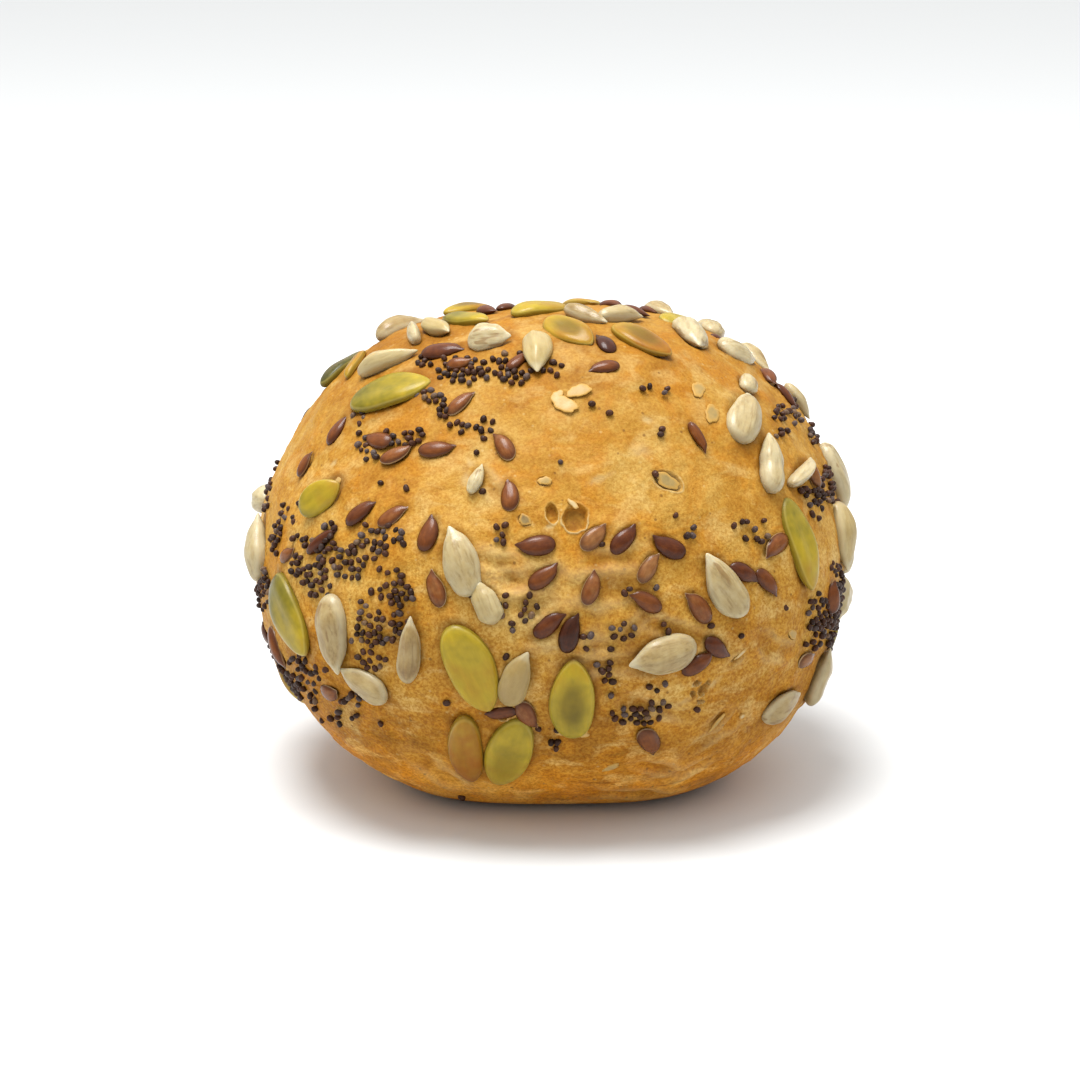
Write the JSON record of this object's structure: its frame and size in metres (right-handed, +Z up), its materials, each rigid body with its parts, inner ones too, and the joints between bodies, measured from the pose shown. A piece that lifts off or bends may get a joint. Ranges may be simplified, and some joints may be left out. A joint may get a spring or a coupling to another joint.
{
  "type": "seeded bread roll",
  "caption": "Round whole bread roll with a browned crust and pumpkin, sunflower, flax and poppy seeds baked onto its top and sides.",
  "frame": {"origin": "centre of the flat underside that the roll rests on", "axes": "+Z up out of the roll's top, +X to the right and -Y towards the viewer of the side that the picture shows"},
  "size_m": [0.0851, 0.0842, 0.0685],
  "materials": {
    "crust": "satin",
    "pumpkin_seed": "satin",
    "sunflower_seed": "satin",
    "flax_seed": "satin",
    "poppy_seed": "satin"
  },
  "bodies": {
    "root": {"roll": "crust"}
  },
  "joints": []
}
